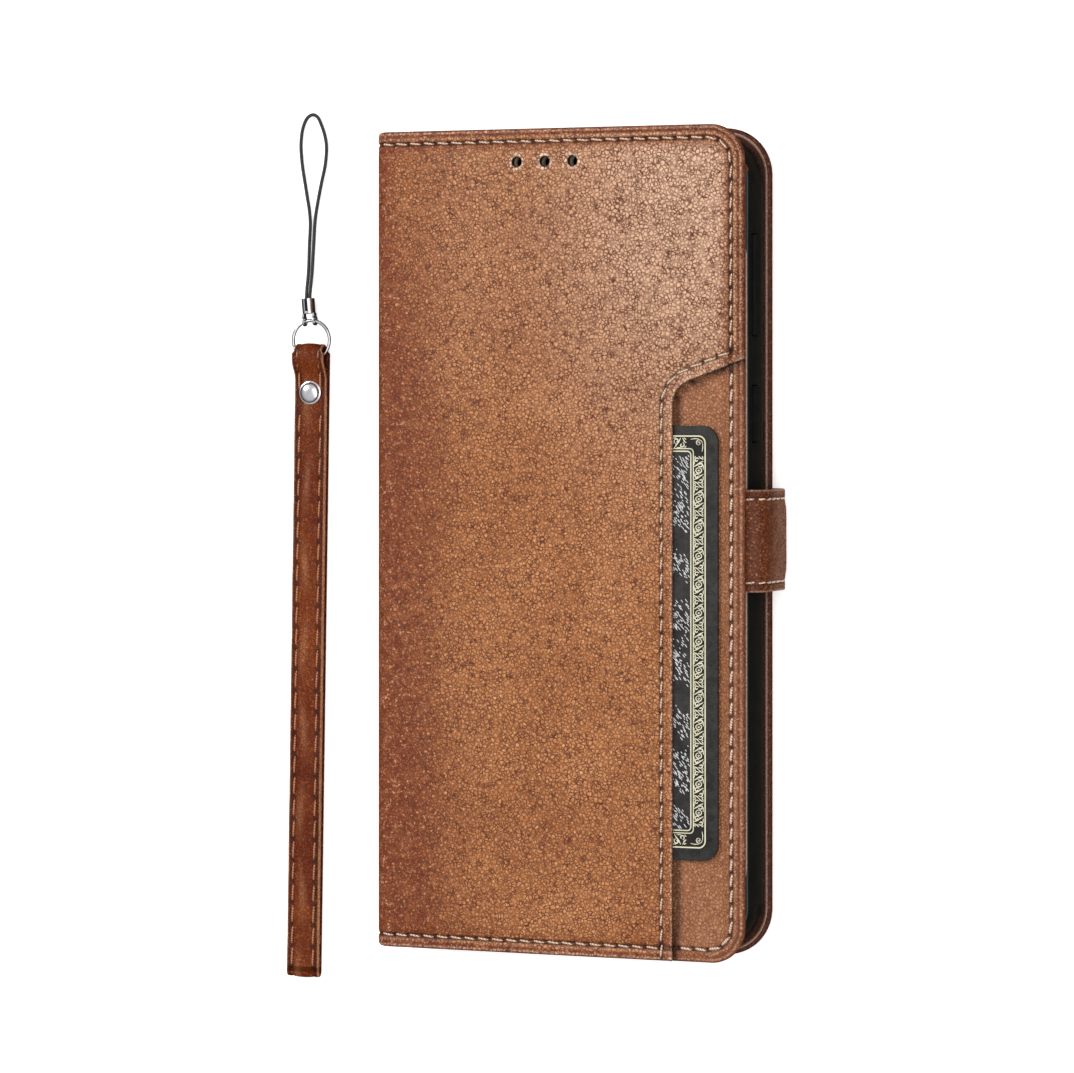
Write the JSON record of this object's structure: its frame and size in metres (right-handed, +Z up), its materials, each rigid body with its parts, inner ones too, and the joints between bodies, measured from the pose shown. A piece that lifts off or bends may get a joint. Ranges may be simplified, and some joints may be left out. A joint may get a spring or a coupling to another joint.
{
  "type": "phone wallet case",
  "caption": "Book-style phone wallet case with a card pocket in the front cover, a magnetic clasp strap, a soft phone tray and a loose wrist strap on a cord.",
  "frame": {"origin": "on the table, under the middle of the case and its wrist strap", "axes": "+X from the spine towards the clasp, +Y up the case, +Z up from the table"},
  "size_m": [0.1084, 0.1794, 0.0193],
  "materials": {
    "cover_leather": "mottled satin",
    "lower_leather": "mottled satin",
    "clasp_leather": "semi-gloss",
    "strap_leather": "gloss",
    "lining_leather": "matt",
    "thread": "waxed thread",
    "dark_thread": "waxed thread",
    "board": "pressed paper board",
    "foam": "foam sheet",
    "glue_sheet": "double-sided tape",
    "tray_plastic": "soft TPU",
    "card_plastic": "printed laminate",
    "cord_black": "braided cord",
    "nickel": "polished",
    "steel_plate": "satin",
    "magnet_metal": "nickel plated"
  },
  "bodies": {
    "back_cover": {"back_outer_skin": "cover_leather", "back_board": "board", "back_lining": "lining_leather", "back_stitching": "thread", "clasp_catch_plate": "steel_plate", "tray_adhesive": "glue_sheet", "phone_tray": "tray_plastic"},
    "volume_button": {"volume_button": "tray_plastic"},
    "power_button": {"power_button": "tray_plastic"},
    "spine": {"spine_skin": "cover_leather", "spine_stiffener": "board", "spine_lining": "lining_leather"},
    "front_cover": {"front_pocket_skin": "cover_leather", "front_lower_skin": "lower_leather", "front_padding": "foam", "front_board": "board", "front_lining": "lining_leather", "cash_pocket_panel": "lining_leather", "card_slot_1": "lining_leather", "card_slot_2": "lining_leather", "card_slot_3": "lining_leather", "front_edge_stitching": "thread", "pocket_stitching": "thread", "clasp_root_leather": "clasp_leather", "clasp_root_lining": "lining_leather", "clasp_root_stitching": "dark_thread"},
    "clasp_side": {"clasp_side_leather": "clasp_leather", "clasp_side_lining": "lining_leather", "clasp_side_stitching": "dark_thread"},
    "clasp_tip": {"clasp_tip_leather": "clasp_leather", "clasp_tip_lining": "lining_leather", "clasp_tip_stitching": "dark_thread", "clasp_magnet": "magnet_metal"},
    "card": {"bank_card": "card_plastic"},
    "wrist_strap": {"wrist_strap_band": "strap_leather", "wrist_strap_stitching": "dark_thread", "rivet_cap": "nickel", "rivet_post": "nickel"},
    "ring": {"strap_ring": "nickel"},
    "cord_end": {"cord_crimp": "nickel", "cord_loop": "cord_black"}
  },
  "joints": [
    {"name": "spine_hinge", "type": "hinge", "parent": "back_cover", "child": "spine", "pos_m": [-0.02839, 0.00454, 0.00288], "axis": [0, -1, 0], "range_deg": [0, 58]},
    {"name": "front_hinge", "type": "hinge", "parent": "spine", "child": "front_cover", "pos_m": [-0.0288, 0.00454, 0.01317], "axis": [0, -1, 0], "range_deg": [0, 116]},
    {"name": "clasp_hinge", "type": "hinge", "parent": "front_cover", "child": "clasp_side", "pos_m": [0.05403, 0.00504, 0.01424], "axis": [0, -1, 0], "range_deg": [0, 90]},
    {"name": "clasp_tip_hinge", "type": "hinge", "parent": "clasp_side", "child": "clasp_tip", "pos_m": [0.05443, 0.00504, 0.0041], "axis": [0, -1, 0], "range_deg": [0, 90]},
    {"name": "card_slide", "type": "slide", "parent": "front_cover", "child": "card", "axis": [0.9992, 0, 0.0394], "range_m": [-0.004, 0.062]},
    {"name": "volume_button_press", "type": "slide", "parent": "back_cover", "child": "volume_button", "axis": [-0.9992, 0, -0.0394], "range_m": [0, 0.0004], "stiffness_N_per_m": 400},
    {"name": "power_button_press", "type": "slide", "parent": "back_cover", "child": "power_button", "axis": [-0.9992, 0, -0.0394], "range_m": [0, 0.0004], "stiffness_N_per_m": 400},
    {"name": "strap_pull", "type": "slide", "parent": "back_cover", "child": "wrist_strap", "axis": [-1, 0, 0], "range_m": [0, 0.1]},
    {"name": "ring_swing", "type": "hinge", "parent": "wrist_strap", "child": "ring", "pos_m": [-0.04872, 0.04199, 0.002], "axis": [1, 0, 0], "range_deg": [0, 25]},
    {"name": "cord_swing", "type": "hinge", "parent": "ring", "child": "cord_end", "pos_m": [-0.04902, 0.04923, 0.002], "axis": [1, 0, 0], "range_deg": [0, 45]}
  ],
  "couplings": [
    {"joint": "front_hinge", "follows": "spine_hinge", "ratio": 2}
  ]
}
